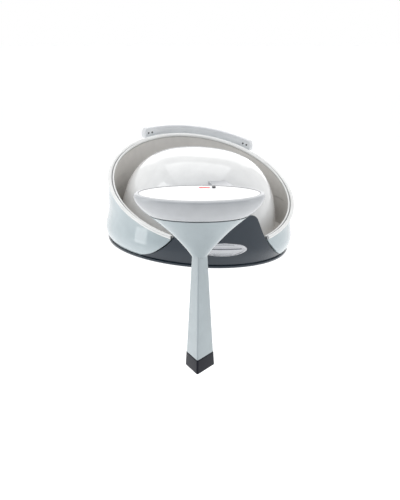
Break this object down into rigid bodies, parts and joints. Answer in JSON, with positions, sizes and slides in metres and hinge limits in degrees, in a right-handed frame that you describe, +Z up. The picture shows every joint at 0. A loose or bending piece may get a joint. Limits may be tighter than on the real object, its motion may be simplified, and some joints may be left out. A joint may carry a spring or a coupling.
{
  "type": "hood hair dryer",
  "caption": "Salon hood dryer on an articulated arm: white dome in a swept open cowl, dark rear panel, oval control drum on a flared cup and tapered post.",
  "frame": {"origin": "on the axis of the stand socket, at the bottom of the post", "axes": "+Z up along the post, +Y from the post towards the front of the hood, +X to the right of someone standing behind the dryer"},
  "size_m": [0.4199, 0.6323, 0.3887],
  "materials": {
    "light_shell": "gloss",
    "white_shell": "high gloss",
    "dark_shell": "high gloss",
    "liner": "satin",
    "trim": "gloss",
    "arm_paint": "gloss",
    "drum_shell": "satin",
    "panel_white": "gloss",
    "red_lens": "translucent",
    "button_dark": "satin",
    "cap_dark": "satin",
    "steel": "brushed",
    "bronze": "machined",
    "black_plastic": "matte",
    "rubber": "matte",
    "badge": "bright",
    "mica": "matte",
    "coil": "oxidised",
    "board": "matte",
    "handle": "gloss"
  },
  "bodies": {
    "arm": {"post": "arm_paint", "end_cap": "cap_dark", "socket_bush": "steel", "wire_grommet": "rubber", "cup": "arm_paint", "drum": "drum_shell", "control_panel": "panel_white", "indicator_lens": "red_lens", "control_board": "board", "board_posts": "black_plastic", "arm_bracket": "steel", "link_pin": "steel"},
    "button": {"power_button": "button_dark"},
    "link": {"link_arm": "arm_paint", "link_bushes": "bronze"},
    "swivel": {"knuckle": "steel", "thrust_washer": "bronze", "spindle_nut": "steel"},
    "hood": {"tilt_pin": "steel", "tilt_nuts": "steel", "hood_bracket": "steel", "dome_shell": "white_shell", "inner_shell": "black_plastic", "edge_seal": "rubber", "cowl_shell": "light_shell", "liner_lower": "liner", "liner_upper": "liner", "rim_trim": "trim", "rear_panel": "dark_shell", "badge": "badge", "base_ring": "dark_shell", "base_screws": "steel", "intake_grille": "liner", "grille_posts": "black_plastic", "handle_bar": "handle", "handle_screws": "black_plastic", "fan_motor": "steel", "motor_mount": "steel", "heater_frame": "mica", "heater_coils": "coil", "thermostat": "steel"},
    "fan": {"fan_impeller": "black_plastic", "fan_shaft": "steel"}
  },
  "joints": [
    {"name": "power_press", "type": "slide", "parent": "arm", "child": "button", "axis": [0, 0, -1], "range_m": [0, 0.0012], "stiffness_N_per_m": 200},
    {"name": "link_swivel", "type": "hinge", "parent": "arm", "child": "link", "pos_m": [0, 0.088, 0.278], "axis": [0, 0, 1], "range_deg": [-5, 45]},
    {"name": "hood_swivel", "type": "hinge", "parent": "link", "child": "swivel", "pos_m": [0.054, 0.1396, 0.278], "axis": [0, 0, 1], "range_deg": [-60, 20]},
    {"name": "hood_tilt", "type": "hinge", "parent": "swivel", "child": "hood", "pos_m": [0.054, 0.1396, 0.303], "axis": [0.972, 0.2351, 0], "range_deg": [-15, 35]},
    {"name": "fan_spin", "type": "hinge", "parent": "hood", "child": "fan", "pos_m": [0.00485, 0.34788, 0.31946], "axis": [0.0712, 0.0172, 0.9973], "continuous": true}
  ]
}
